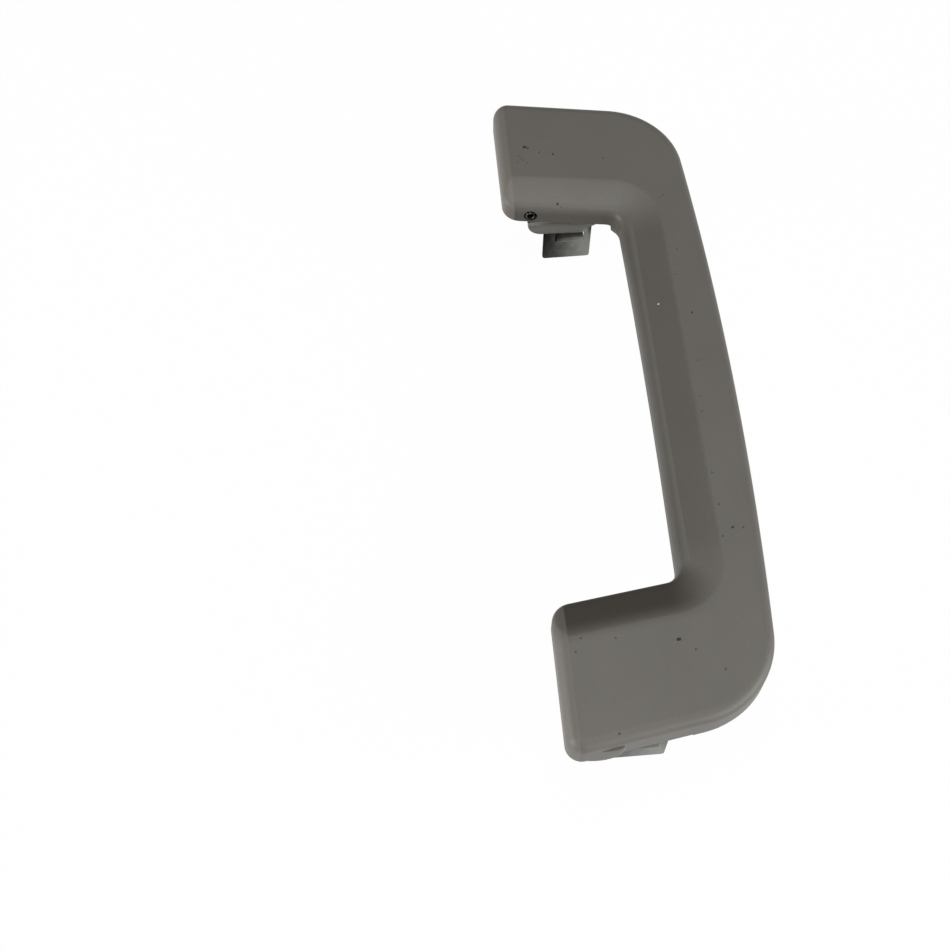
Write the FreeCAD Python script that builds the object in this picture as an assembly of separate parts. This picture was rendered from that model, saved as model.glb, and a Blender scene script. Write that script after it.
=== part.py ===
"""Folding roof grab handle for a car, in millimetres.

The origin is the middle of the two roof clips, on the roof panel. +X runs along the hinge axis,
+Y from the hinge to the grip, and +Z out of the roof into the cabin. The handle is shown closed.
The end at -X holds the return spring and the end at +X holds the damper.
"""
import FreeCAD, Part
import math
import os

Vector = FreeCAD.Vector
X_AXIS = Vector(1, 0, 0)
Y_AXIS = Vector(0, 1, 0)
Z_AXIS = Vector(0, 0, 1)

# Handle outline, seen from the cabin
HALF_LENGTH = 122.1        # middle to the outside of an end, at the hinge side
END_WIDTH = 48.3           # outside to inside of an end, at the hinge line
END_TAPER = 9.4            # degrees that an end's outside leans in towards the grip
HINGE_SIDE_Y = -24.6       # straight edge along the hinge side
GRIP_OUTER_Y = 42.8        # outside of the grip at mid length
GRIP_BOW_RADIUS = 1300.0   # the grip's outside is a flat bow
SHOULDER_RADIUS = 27.7     # from the end's outside to the grip's outside
OUTER_CORNER_RADIUS = 4.8
OPENING_TAPER = 8.0        # degrees that an end's inside leans in towards the grip
GRIP_INNER_Y = 15.6        # inside of the grip at mid length
INNER_BOW_RADIUS = 2850.0
BOW_SHARE = 0.7            # how much of a bowed side is bowed, before it runs on straight
OPENING_CORNER_RADIUS = 5.0
INNER_CORNER_RADIUS = 6.5

# Handle section
FACE_Z = 28.0              # face of the closed handle above the roof panel
RIM_DEPTH = 9.8            # face to the edge where the rear shell starts
SHELL_WALL = 2.0
BEVEL_WIDTH = 10.8         # sloping band all round the finger opening
BEVEL_DEPTH = 3.0
BEVEL_ROUNDNESS = 1.22
FLANK_LEAN_GRIP = 3.2      # how far the flank below the bevel leans out, at the grip
FLANK_LEAN_END = 1.3       # and at the ends
EDGE_ROUND_DEPTH = 2.6     # rounding of the outer edge of the face
EDGE_ROUND_WIDTH = 3.6
HINGE_ROUND_DEPTH = 4.6    # rounding of the hinge-side edge of the face
HINGE_ROUND_WIDTH = 4.4
LEAST_RADIUS = 0.8

# Rear shell of the grip
REAR_CUT_SET_BACK = 2.6    # the rear shell starts this far before the inside of the grip
REAR_DEPTH = 9.6           # rim to the back of the grip
REAR_ROUND_WIDTH = 10.5
REAR_WALL = 2.2
REAR_BOW_RADIUS = 900.0    # the back rises towards both ends
REAR_TURN_SET_IN = 14.0    # inside of an end to where the back turns up to the rim
REAR_PLATE_SET_IN = 2.0    # inside of an end to where only a thin plate is left
REAR_TURN_RADIUS = 9.0
LIP_HEIGHT = 2.0
LIP_THICKNESS = 1.2
LIP_GAP = 0.1
LIP_ROOT = 1.0             # how far the lip's root goes down into the rear shell

# Hinge line
HINGE_Y = -15.2
HINGE_Z = 21.0
PIN_RADIUS = 1.75
PIN_BORE_RADIUS = 1.1
PIN_SLOT = 0.6
PIN_SET_IN = 0.2           # inside of an end to the visible end of the pin
PIN_HOLD = 7.0             # length of the pin in the outer boss
PIN_RING_RADIUS = 2.35     # sunk ring round the visible pin end
PIN_RING_DEPTH = 1.2
RUNNING_GAP = 0.05
BOSS_RADIUS = 3.2
KNUCKLE_RADIUS = 8.6       # round cheek at the outer side of each end
KNUCKLE_EDGE = 3.4
KNUCKLE_SET_IN = 1.6
BOSS_GAP = 0.4             # side play between bracket and handle

# Bracket
BRACKET_INNER_ROOM = 8.4   # inside of an end to the foot of the bracket
BRACKET_OUTER_ROOM = 10.3  # outside of an end to the foot of the bracket
FOOT_HEIGHT = 5.6          # wide lower part of the bracket
FOOT_ROUND = 2.0
BLOCK_LEDGE = 1.2          # the block above the foot is this much narrower at each side
LUG_LEDGE = 3.2            # and so are the two lugs that carry the pin
LUG_SIDE_Y = -6.8          # the lugs reach to here
LUG_THICKNESS = 3.4
FORK_CLEARANCE = 0.5       # round the eyes, for what turns between the lugs
BRACKET_FOOT_Y = (-9.4, 3.6)   # flat that lies on the roof panel
BRACKET_HINGE_Y = -14.9
BRACKET_GRIP_Y = 10.6
BRACKET_FOOT_RADIUS = 5.5
BRACKET_SHELF_Z = 10.2
BRACKET_TOP_Z = 13.6
BRACKET_WAIST_Y = -11.3
BARREL_RADIUS = 3.3        # round eye of each lug

# Roof clip and locking wedge
CLIP_GAUGE = 0.8
CLIP_SET_IN = 1.4          # side of the foot to the outside of a leg
CLIP_HALF_Y = 8.8
CLIP_BASE_Z = 3.0
CLIP_DEPTH = 16.4          # how far the legs reach behind the roof panel
CLIP_CORNER = 1.2
SLOT_Y = (-3.0, 4.9)
SLOT_Z = (-1.0, 1.0)
LOUVRE_Y = (-4.0, 5.8)     # bridge pressed out of the leg, which catches behind the panel
LOUVRE_Z = (-6.7, -2.1)
LOUVRE_REACH = 1.5
LOUVRE_THICKNESS = 0.65
LOUVRE_SLIT = 0.4          # at each end of the bridge
WEDGE_PRONG = 2.8
WEDGE_PRONG_HALF_Y = 5.2
WEDGE_TIP_Z = -12.0
WEDGE_HEAD_HALF_Y = 5.6
WEDGE_HEAD_THICKNESS = 2.2
WEDGE_GRIP_HEIGHT = 1.2    # the rib on the head that a tool grips
WEDGE_GRIP_HALF_X = 4.0
WEDGE_GRIP_HALF_Y = 0.8
FIT_GAP = 0.2

# Return spring, damper, buffers and screws
WIRE_RADIUS = 0.5
WIRE_SIDES = 6
SPRING_MEAN_RADIUS = 3.15
SPRING_TURNS = 6
SPRING_STEP = 30.0         # degrees between the sections of the wire
BRACKET_LEG_ANGLE = -60.0  # the spring's leg down to the bracket
BRACKET_LEG = 9.6
HANDLE_LEG = 5.0
SPRING_PITCH = 1.9
SLEEVE_RADIUS = 2.5
SLEEVE_PLAY = 0.3          # sleeve to lug, at each end
DAMPER_RADIUS = 4.1
DAMPER_PLAY = 0.6          # damper housing to lug, at each end
DAMPER_KEY_Y = (2.1, 4.0)  # foot of the housing, on the grip side of the hinge line
DAMPER_BORE_RADIUS = 3.3
DAMPER_CAP_THICKNESS = 1.6
ROTOR_RADIUS = 3.1
ROTOR_NECK_RADIUS = 2.5
SEAL_DEPTH = 0.6           # groove in the rotor
SEAL_WIDTH = 0.9
SEAL_STAND_OUT = 0.13
SEAL_SET_BACK = 2.2        # end of the drum to the middle of the seal
SLIP_GAP = 0.02
BUFFER_RADIUS = 2.1
BUFFER_TIP_RADIUS = 1.2
BUFFER_HEIGHT = 2.1
BUFFER_STEM_RADIUS = 1.3
BUFFER_STEM_LENGTH = 3.0
BUFFER_Y = 8.2
BUFFER_REST_GAP = 0.1
SCREW_INNER_X = 21.0
SCREW_OUTER_SET_IN = 15.8  # inside of an end to the outer screw
SCREW_Y = 31.5
SCREW_SEAT_DEPTH = 3.0     # rim to the seat of the head
SCREW_SHANK_RADIUS = 1.1
SCREW_HEAD_RADIUS = 2.2
SCREW_HEAD_HEIGHT = 1.5
SCREW_LENGTH = 9.0
SCREW_BOSS_RADIUS = 3.0
RIB_THICKNESS = 1.6
RIB_INNER_X = 40.0
RIB_END_X = 7.8            # middle of the bracket to the rib beside it
CLEAR = 1.0                # how far a cutting tool runs past the face that it cuts

# How finely the rounded forms are stepped, as shares of a depth
OUTSIDE_BEVEL_SHARES = (0.0, 0.05, 0.2, 0.5, 1.0)
OUTSIDE_FLANK_SHARES = (0.22, 0.6)
CAVITY_BEVEL_SHARES = (0.0, 0.2, 1.0)
CAVITY_FLANK_SHARES = (0.2, 0.4, 0.6)
REAR_OUTSIDE_SHARES = (0.0, 0.35, 0.62, 0.82, 0.94, 1.0)
REAR_CAVITY_SHARES = (0.0, 0.5, 0.85, 1.0)

# Worked out from the sizes above
OPENING_HALF = HALF_LENGTH - END_WIDTH
RIM_Z = FACE_Z - RIM_DEPTH
BACK_Z = RIM_Z - REAR_DEPTH
REAR_CUT_Y = GRIP_INNER_Y - REAR_CUT_SET_BACK
BRACKET_HALF = (END_WIDTH - BRACKET_INNER_ROOM - BRACKET_OUTER_ROOM) / 2
BRACKET_X = OPENING_HALF + BRACKET_INNER_ROOM + BRACKET_HALF
BLOCK_HALF = BRACKET_HALF - BLOCK_LEDGE
LUG_HALF = BRACKET_HALF - LUG_LEDGE
FORK_HALF = LUG_HALF - LUG_THICKNESS
BOSS_INNER_X = BRACKET_X - LUG_HALF - BOSS_GAP
BOSS_OUTER_X = BRACKET_X + LUG_HALF + BOSS_GAP
PIN_INNER_X = OPENING_HALF + PIN_SET_IN
PIN_OUTER_X = BOSS_OUTER_X + PIN_HOLD
CLIP_HALF_X = BRACKET_HALF - CLIP_SET_IN
PRONG_OUT = CLIP_HALF_X - CLIP_GAUGE - FIT_GAP
WEDGE_HEAD_Z = BRACKET_TOP_Z - WEDGE_HEAD_THICKNESS
SLEEVE_HALF = FORK_HALF - SLEEVE_PLAY
DAMPER_HALF = FORK_HALF - DAMPER_PLAY
SEAL_X = BRACKET_X + DAMPER_HALF - DAMPER_CAP_THICKNESS - FIT_GAP - SEAL_SET_BACK
SCREW_OUTER_X = OPENING_HALF - SCREW_OUTER_SET_IN
SCREW_XS = (-SCREW_OUTER_X, -SCREW_INNER_X, SCREW_INNER_X, SCREW_OUTER_X)
SCREW_SEAT_Z = RIM_Z - SCREW_SEAT_DEPTH
RIB_END = BRACKET_X + RIB_END_X
RIB_XS = (-RIB_END, -RIB_INNER_X, 0.0, RIB_INNER_X, RIB_END)


# Basic shapes

def box(x, y, z):
    """A box from three (low, high) pairs."""
    low = Vector(min(x), min(y), min(z))
    return Part.makeBox(abs(x[1] - x[0]), abs(y[1] - y[0]), abs(z[1] - z[0]), low)


def rod(x_from, x_to, radius, y=HINGE_Y, z=HINGE_Z):
    """A cylinder along X, on the hinge line unless told otherwise."""
    return Part.makeCylinder(radius, abs(x_to - x_from), Vector(min(x_from, x_to), y, z), X_AXIS)


def upright(radius, z_from, z_to, x, y):
    """A cylinder along Z."""
    return Part.makeCylinder(radius, z_to - z_from, Vector(x, y, z_from), Z_AXIS)


def onto_x(shape, x, y=0.0, z=0.0):
    """Turns a shape so that its X, Y, Z run along Y, Z, X, and moves it."""
    placed = shape.copy()
    placed.Placement = FreeCAD.Placement(Vector(x, y, z), FreeCAD.Rotation(Vector(1, 1, 1), 120))
    return placed


def side_plate(corners, x_from, x_to):
    """A solid from a rounded outline in the YZ plane, run along X."""
    face = Part.Face(rounded_wire(corners, 0.0))
    return onto_x(face.extrude(Vector(0, 0, x_to - x_from)), x_from)


def length_plate(corners, y_from, y_to):
    """A solid from a rounded outline in the XZ plane, run along Y."""
    face = Part.Face(rounded_wire(corners, 0.0))
    plate = face.extrude(Vector(0, 0, y_from - y_to))
    plate.rotate(Vector(0, 0, 0), X_AXIS, 90)
    plate.translate(Vector(0, y_from, 0))
    return plate


def mirrored(shape):
    """The same shape at the other end of the handle."""
    return shape.mirror(Vector(0, 0, 0), X_AXIS)


def rounded_wire(corners, z):
    """A closed wire of straight lines and arcs through (x, y, radius) corners."""
    edges = []
    starts = []
    ends = []
    middles = []
    count = len(corners)
    for i in range(count):
        here = Vector(corners[i][0], corners[i][1], z)
        back = Vector(corners[i - 1][0], corners[i - 1][1], z) - here
        ahead = Vector(corners[(i + 1) % count][0], corners[(i + 1) % count][1], z) - here
        back.normalize()
        ahead.normalize()
        half = back.getAngle(ahead) / 2
        reach = corners[i][2] / math.tan(half)
        bisector = back + ahead
        bisector.normalize()
        centre = here + bisector * (corners[i][2] / math.sin(half))
        starts.append(here + back * reach)
        ends.append(here + ahead * reach)
        middles.append(centre - bisector * corners[i][2])
    for i in range(count):
        edges.append(Part.Arc(starts[i], middles[i], ends[i]).toShape())
        edges.append(Part.makeLine(ends[i], starts[(i + 1) % count]))
    return Part.Wire(edges)


def crossing(p, angle_p, q, angle_q):
    """Where the line through p at one angle meets the line through q at another."""
    dp = (math.cos(angle_p), math.sin(angle_p))
    dq = (math.cos(angle_q), math.sin(angle_q))
    across = dp[0] * dq[1] - dp[1] * dq[0]
    t = ((q[0] - p[0]) * dq[1] - (q[1] - p[1]) * dq[0]) / across
    return (p[0] + t * dp[0], p[1] + t * dp[1])


# The C-shaped outline of the handle

def outline(outer, hinge, inner_end, inner_grip):
    """Corners of the C, each side moved inwards by its own amount."""
    lean = math.radians(END_TAPER)
    mouth = math.radians(OPENING_TAPER)
    bow = math.asin(BOW_SHARE * HALF_LENGTH / GRIP_BOW_RADIUS)
    dish = math.asin(BOW_SHARE * OPENING_HALF / INNER_BOW_RADIUS)
    rise = GRIP_BOW_RADIUS * (1 / math.cos(bow) - 1)
    dip = INNER_BOW_RADIUS * (1 / math.cos(dish) - 1)
    end_angle = math.pi / 2 + lean
    mouth_angle = math.pi / 2 + mouth
    end_point = (HALF_LENGTH - outer / math.cos(lean), HINGE_SIDE_Y)
    mouth_point = (OPENING_HALF + inner_end / math.cos(mouth), HINGE_Y)
    apex = (0.0, GRIP_OUTER_Y + rise - outer / math.cos(bow))
    valley = (0.0, GRIP_INNER_Y + dip + inner_grip / math.cos(dish))
    base_y = HINGE_SIDE_Y + hinge
    base = (0.0, base_y)
    foot_out = crossing(end_point, end_angle, base, 0.0)
    shoulder = crossing(end_point, end_angle, apex, -bow)
    foot_in = crossing(mouth_point, mouth_angle, base, 0.0)
    corner_in = crossing(mouth_point, mouth_angle, valley, -dish)
    corner_cut = max(OUTER_CORNER_RADIUS - (outer + hinge) / 2, LEAST_RADIUS)
    inner_cut = max(INNER_CORNER_RADIUS - (inner_end + hinge) / 2, LEAST_RADIUS)
    right = [
        (foot_out[0], base_y, corner_cut),
        (shoulder[0], shoulder[1], SHOULDER_RADIUS - outer),
    ]
    opening = [
        (corner_in[0], corner_in[1], OPENING_CORNER_RADIUS + (inner_end + inner_grip) / 2),
        (foot_in[0], base_y, inner_cut),
    ]
    corners = list(right)
    corners.append((apex[0], apex[1], GRIP_BOW_RADIUS - outer))
    corners.extend((-x, y, r) for x, y, r in reversed(right))
    corners.extend((-x, y, r) for x, y, r in reversed(opening))
    corners.append((valley[0], valley[1], INNER_BOW_RADIUS + inner_grip))
    corners.extend(opening)
    return corners


def ellipse_inset(depth, full_depth, width):
    """How far a rounded edge stands back at this depth below the face."""
    if depth >= full_depth:
        return 0.0
    share = 1 - depth / full_depth
    return width * (1 - math.sqrt(1 - share * share))


def bevel_inset(depth, lean):
    """How far the bevel, or the leaning flank below it, stands back at this depth."""
    if depth <= BEVEL_DEPTH:
        return lean + BEVEL_WIDTH * (1 - (depth / BEVEL_DEPTH) ** (1 / BEVEL_ROUNDNESS))
    return ellipse_inset(depth - BEVEL_DEPTH, (RIM_DEPTH - BEVEL_DEPTH) * 0.6, lean)


def face_section(depth, wall):
    """The four side insets of the handle at one depth, for its outside or its cavity."""
    return (
        ellipse_inset(depth, EDGE_ROUND_DEPTH, EDGE_ROUND_WIDTH) + wall,
        ellipse_inset(depth, HINGE_ROUND_DEPTH, HINGE_ROUND_WIDTH) + wall,
        bevel_inset(depth, FLANK_LEAN_END) + wall,
        bevel_inset(depth, FLANK_LEAN_GRIP) + wall,
    )


def stack(levels):
    """A solid through a stack of (height, corners) outlines."""
    wires = [rounded_wire(corners, z) for z, corners in levels]
    return Part.makeLoft(wires, True, True)


def face_body(wall, bevel_shares, flank_shares, bottom_z):
    """The rounded C from its face down, or its cavity when a wall is given."""
    depths = [BEVEL_DEPTH * share for share in bevel_shares]
    depths += [BEVEL_DEPTH + (RIM_DEPTH - BEVEL_DEPTH) * share for share in flank_shares]
    levels = [(FACE_Z - wall - d, outline(*face_section(d, wall))) for d in depths]
    levels.append((bottom_z, outline(*face_section(RIM_DEPTH, wall))))
    return stack(levels)


def past_cut(body, y):
    """What lies on the grip side of a line."""
    keep = box((-HALF_LENGTH - CLEAR, HALF_LENGTH + CLEAR), (y, 2 * GRIP_OUTER_Y), (-FACE_Z, 2 * FACE_Z))
    return body.common(keep)


def back_profile(wall):
    """Side view of the grip's back: bowed in the middle, and turned up to the rim at both ends."""
    turn_x = OPENING_HALF - REAR_TURN_SET_IN
    plate_x = OPENING_HALF - REAR_PLATE_SET_IN
    bow = math.asin(BOW_SHARE * turn_x / REAR_BOW_RADIUS)
    middle_z = BACK_Z - REAR_BOW_RADIUS * (1 / math.cos(bow) - 1)
    turn_z = middle_z + turn_x * math.tan(bow)
    plate_z = RIM_Z - REAR_WALL
    back = wall * math.tan(math.atan2(plate_z - turn_z, plate_x - turn_x) / 2)
    right = [
        (turn_x - back, turn_z + wall, REAR_TURN_RADIUS - wall),
        (plate_x - back, plate_z + wall, REAR_TURN_RADIUS + wall),
        (HALF_LENGTH + CLEAR, plate_z + wall, LEAST_RADIUS),
        (HALF_LENGTH + CLEAR, FACE_Z, LEAST_RADIUS),
    ]
    left = [(-x, z, r) for x, z, r in reversed(right)]
    return [(0.0, middle_z + wall, REAR_BOW_RADIUS - wall)] + right + left


def rear_body(wall, shares):
    """The rounded back of the grip, from the rim down, or its cavity."""
    levels = []
    full = REAR_DEPTH - wall
    for share in shares:
        inset = wall + ellipse_inset(full - full * share, full, REAR_ROUND_WIDTH)
        levels.append((RIM_Z - full * share, outline(inset, inset, inset, inset)))
    body = past_cut(stack(levels), REAR_CUT_Y + wall)
    return body.common(length_plate(back_profile(wall), 0.0, 2 * GRIP_OUTER_Y))


# Handle pieces

def hinge_bosses():
    """Bosses inside both walls of the +X end that carry the hinge pin."""
    web_y = (HINGE_Y - RIB_THICKNESS / 2, HINGE_Y + RIB_THICKNESS / 2)
    pieces = []
    for x_from, x_to in ((PIN_INNER_X, BOSS_INNER_X), (BOSS_OUTER_X, HALF_LENGTH)):
        pieces.append(rod(x_from, x_to, BOSS_RADIUS))
        pieces.append(box((x_from, x_to), web_y, (HINGE_Z, FACE_Z)))
    return pieces


def knuckle():
    """The round cheek that stands out a little behind the hinge-side edge."""
    high = HALF_LENGTH - KNUCKLE_SET_IN
    disc = rod(BOSS_OUTER_X, high, KNUCKLE_RADIUS)
    rim = [e for e in disc.Edges if e.BoundBox.XMin > high - CLEAR]
    disc = disc.makeFillet(KNUCKLE_EDGE, rim)
    below = box((BOSS_OUTER_X, HALF_LENGTH), (HINGE_Y - 2 * KNUCKLE_RADIUS, HINGE_Y + 2 * KNUCKLE_RADIUS),
                (HINGE_Z - 2 * KNUCKLE_RADIUS, FACE_Z - HINGE_ROUND_DEPTH))
    return disc.common(below)


def buffer_rib():
    """The rib above the stop buffer of the +X end."""
    low_z = BRACKET_TOP_Z + BUFFER_HEIGHT + BUFFER_REST_GAP
    return box((BRACKET_X - FORK_HALF, BRACKET_X + FORK_HALF),
               (BUFFER_Y - RIB_THICKNESS / 2, BUFFER_Y + RIB_THICKNESS / 2), (low_z, FACE_Z))


def grip_front_shell():
    outside = face_body(0.0, OUTSIDE_BEVEL_SHARES, OUTSIDE_FLANK_SHARES, RIM_Z)
    cavity = face_body(SHELL_WALL, CAVITY_BEVEL_SHARES, CAVITY_FLANK_SHARES, RIM_Z - CLEAR)
    shell = outside.cut(cavity)
    inside = hinge_bosses() + [buffer_rib()]
    inside += [mirrored(piece) for piece in inside]
    for x in RIB_XS:
        inside.append(box((x - RIB_THICKNESS / 2, x + RIB_THICKNESS / 2),
                          (REAR_CUT_Y + LIP_THICKNESS + SHELL_WALL, GRIP_OUTER_Y),
                          (RIM_Z + LIP_HEIGHT + LIP_GAP, FACE_Z)))
    for x in SCREW_XS:
        inside.append(upright(SCREW_BOSS_RADIUS, RIM_Z, FACE_Z, x, SCREW_Y))
    for piece in inside:
        shell = shell.fuse(piece.common(outside))
    shell = shell.fuse(knuckle()).fuse(mirrored(knuckle()))
    for side in (-1, 1):
        bore = rod(side * PIN_INNER_X, side * PIN_OUTER_X, PIN_RADIUS)
        ring = rod(side * (PIN_INNER_X - CLEAR), side * (PIN_INNER_X + PIN_RING_DEPTH), PIN_RING_RADIUS)
        shell = shell.cut(bore).cut(ring)
    for x in SCREW_XS:
        shell = shell.cut(upright(SCREW_SHANK_RADIUS, RIM_Z - CLEAR, SCREW_SEAT_Z + SCREW_LENGTH, x, SCREW_Y))
    return shell.removeSplitter()


def grip_rear_shell():
    outside = rear_body(0.0, REAR_OUTSIDE_SHARES)
    cavity = rear_body(REAR_WALL, REAR_CAVITY_SHARES)
    shell = outside.cut(cavity)
    lip_top = RIM_Z + LIP_HEIGHT
    seat_depth = FACE_Z - SHELL_WALL - lip_top
    lip_corners = outline(*face_section(seat_depth, SHELL_WALL + LIP_GAP))
    bore_corners = outline(*face_section(seat_depth, SHELL_WALL + LIP_GAP + LIP_THICKNESS))
    lip = stack([(z, lip_corners) for z in (RIM_Z - LIP_ROOT, lip_top)])
    bore = stack([(z, bore_corners) for z in (RIM_Z - LIP_ROOT - CLEAR, lip_top + CLEAR)])
    lip = past_cut(lip, REAR_CUT_Y)
    bore = past_cut(bore, REAR_CUT_Y + REAR_WALL)
    shell = shell.fuse(lip.cut(bore))
    for x in SCREW_XS:
        shell = shell.fuse(upright(SCREW_BOSS_RADIUS, BACK_Z, RIM_Z, x, SCREW_Y).common(outside))
    for x in SCREW_XS:
        shell = shell.cut(upright(SCREW_SHANK_RADIUS, SCREW_SEAT_Z - CLEAR, RIM_Z + CLEAR, x, SCREW_Y))
        shell = shell.cut(upright(SCREW_HEAD_RADIUS + FIT_GAP, BACK_Z - CLEAR, SCREW_SEAT_Z, x, SCREW_Y))
    return shell.removeSplitter()


def shell_screw(x):
    shank = upright(SCREW_SHANK_RADIUS, SCREW_SEAT_Z, SCREW_SEAT_Z + SCREW_LENGTH, x, SCREW_Y)
    head = upright(SCREW_HEAD_RADIUS, SCREW_SEAT_Z - SCREW_HEAD_HEIGHT, SCREW_SEAT_Z, x, SCREW_Y)
    return head.fuse(shank)


def hinge_pin():
    """A slotted spring pin for the +X end."""
    pin = rod(PIN_INNER_X, PIN_OUTER_X, PIN_RADIUS)
    bore = rod(PIN_INNER_X - CLEAR, PIN_OUTER_X + CLEAR, PIN_BORE_RADIUS)
    slot = box((PIN_INNER_X - CLEAR, PIN_OUTER_X + CLEAR), (HINGE_Y - PIN_SLOT / 2, HINGE_Y + PIN_SLOT / 2),
               (HINGE_Z - PIN_RADIUS - CLEAR, HINGE_Z))
    return pin.cut(bore).cut(slot)


# Bracket, clip and wedge, all for the +X end

def bracket_profile():
    """Side view of the bracket: foot, grip-side edge, top, arm up to the hinge, waist and shelf."""
    foot_from, foot_to = BRACKET_FOOT_Y
    return [
        (foot_from - BRACKET_FOOT_RADIUS, 0.0, BRACKET_FOOT_RADIUS - 0.1),
        (foot_to, 0.0, 6.0),
        (BRACKET_GRIP_Y, 3.8, 2.0),
        (BRACKET_GRIP_Y, BRACKET_TOP_Z, 0.6),
        (HINGE_Y + BARREL_RADIUS + 4.5, BRACKET_TOP_Z, 3.0),
        (HINGE_Y + BARREL_RADIUS, HINGE_Z + 0.5, 1.5),
        (HINGE_Y, HINGE_Z + 0.2, 1.0),
        (BRACKET_WAIST_Y, BRACKET_SHELF_Z, 0.6),
        (BRACKET_HINGE_Y, BRACKET_SHELF_Z, 1.0),
    ]


def bracket_foot():
    """The wide foot of the bracket, with its two upper side edges rounded."""
    whole = side_plate(bracket_profile(), BRACKET_X - BRACKET_HALF, BRACKET_X + BRACKET_HALF)
    low_x, high_x = BRACKET_X - BRACKET_HALF, BRACKET_X + BRACKET_HALF
    section = [
        (low_x, -FOOT_HEIGHT, FOOT_ROUND),
        (high_x, -FOOT_HEIGHT, FOOT_ROUND),
        (high_x, FOOT_HEIGHT, FOOT_ROUND),
        (low_x, FOOT_HEIGHT, FOOT_ROUND),
    ]
    return whole.common(length_plate(section, 2 * BRACKET_HINGE_Y, 2 * BRACKET_GRIP_Y))


def bracket():
    """Foot, block and fork, with room for the clip, the wedge, the pin and the buffer."""
    body = side_plate(bracket_profile(), BRACKET_X - BLOCK_HALF, BRACKET_X + BLOCK_HALF)
    for side in (-1, 1):
        body = body.cut(box((BRACKET_X + side * LUG_HALF, BRACKET_X + side * BRACKET_HALF),
                            (2 * BRACKET_HINGE_Y, LUG_SIDE_Y), (FOOT_HEIGHT, FACE_Z)))
    body = body.fuse(rod(BRACKET_X - LUG_HALF, BRACKET_X + LUG_HALF, BARREL_RADIUS))
    fork = box((BRACKET_X - FORK_HALF, BRACKET_X + FORK_HALF),
               (2 * HINGE_Y, LUG_SIDE_Y), (BRACKET_TOP_Z, FACE_Z))
    fork = fork.fuse(rod(BRACKET_X - FORK_HALF, BRACKET_X + FORK_HALF, BARREL_RADIUS + FORK_CLEARANCE))
    body = body.cut(fork).fuse(bracket_foot())
    body = body.cut(rod(BRACKET_X - BRACKET_HALF, BRACKET_X + BRACKET_HALF, PIN_RADIUS + RUNNING_GAP))
    reach = CLIP_HALF_X + RUNNING_GAP
    pocket = box((BRACKET_X - reach, BRACKET_X + reach), (-CLIP_HALF_Y - RUNNING_GAP, CLIP_HALF_Y + RUNNING_GAP),
                 (-CLEAR, CLIP_BASE_Z + CLIP_GAUGE + RUNNING_GAP))
    body = body.cut(pocket)
    recess = box((BRACKET_X - PRONG_OUT - FIT_GAP, BRACKET_X + PRONG_OUT + FIT_GAP),
                 (-WEDGE_HEAD_HALF_Y - FIT_GAP, WEDGE_HEAD_HALF_Y + FIT_GAP),
                 (WEDGE_HEAD_Z, BRACKET_TOP_Z + CLEAR))
    body = body.cut(recess)
    for side in (-1, 1):
        hole = box((BRACKET_X + side * (PRONG_OUT + FIT_GAP), BRACKET_X + side * (PRONG_OUT - WEDGE_PRONG - FIT_GAP)),
                   (-WEDGE_PRONG_HALF_Y - FIT_GAP, WEDGE_PRONG_HALF_Y + FIT_GAP), (0, BRACKET_TOP_Z))
        body = body.cut(hole)
    body = body.cut(upright(BUFFER_STEM_RADIUS, BRACKET_TOP_Z - BUFFER_STEM_LENGTH, FACE_Z, BRACKET_X, BUFFER_Y))
    return body.removeSplitter()


def louvre(inner, out, side):
    """A curved bridge that stands out of a leg and is slit at both of its ends."""
    half = (LOUVRE_Z[1] - LOUVRE_Z[0]) / 2
    radius = (half * half + LOUVRE_REACH * LOUVRE_REACH) / (2 * LOUVRE_REACH)
    centre = Vector(out + side * (LOUVRE_REACH - radius), LOUVRE_Y[0], LOUVRE_Z[0] + half)
    length = LOUVRE_Y[1] - LOUVRE_Y[0]
    bridge = Part.makeCylinder(radius, length, centre, Y_AXIS)
    bridge = bridge.cut(Part.makeCylinder(radius - LOUVRE_THICKNESS, length, centre, Y_AXIS))
    return bridge.common(box((inner, out + side * 2 * LOUVRE_REACH), LOUVRE_Y, (-CLIP_DEPTH, 0)))


def clip_leg(side):
    """One leg of the roof clip with its slot and its louvre."""
    out = BRACKET_X + side * CLIP_HALF_X
    inner = out - side * CLIP_GAUGE
    leg = box((inner, out), (-CLIP_HALF_Y, CLIP_HALF_Y), (-CLIP_DEPTH, CLIP_BASE_Z + CLIP_GAUGE))
    foot_edges = [e for e in leg.Edges
                  if e.BoundBox.XLength > CLIP_GAUGE / 2 and e.BoundBox.ZMax < CLIP_CORNER - CLIP_DEPTH]
    leg = leg.makeFillet(CLIP_CORNER, foot_edges)
    window_y = (LOUVRE_Y[0] - LOUVRE_SLIT, LOUVRE_Y[1] + LOUVRE_SLIT)
    leg = leg.cut(box((inner - side * CLEAR, out + side * CLEAR), window_y, LOUVRE_Z))
    leg = leg.cut(box((inner - side * CLEAR, out + side * CLEAR), SLOT_Y, SLOT_Z))
    return leg.fuse(louvre(inner, out, side))


def roof_clip():
    base = box((BRACKET_X - CLIP_HALF_X, BRACKET_X + CLIP_HALF_X), (-CLIP_HALF_Y, CLIP_HALF_Y),
               (CLIP_BASE_Z, CLIP_BASE_Z + CLIP_GAUGE))
    clip = base.fuse(clip_leg(-1)).fuse(clip_leg(1))
    for side in (-1, 1):
        clip = clip.cut(box((BRACKET_X + side * (PRONG_OUT + FIT_GAP / 2),
                             BRACKET_X + side * (PRONG_OUT - WEDGE_PRONG - FIT_GAP)),
                            (-WEDGE_PRONG_HALF_Y - FIT_GAP, WEDGE_PRONG_HALF_Y + FIT_GAP),
                            (CLIP_BASE_Z - CLEAR, CLIP_BASE_Z + CLIP_GAUGE + CLEAR)))
    return clip.removeSplitter()


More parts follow.
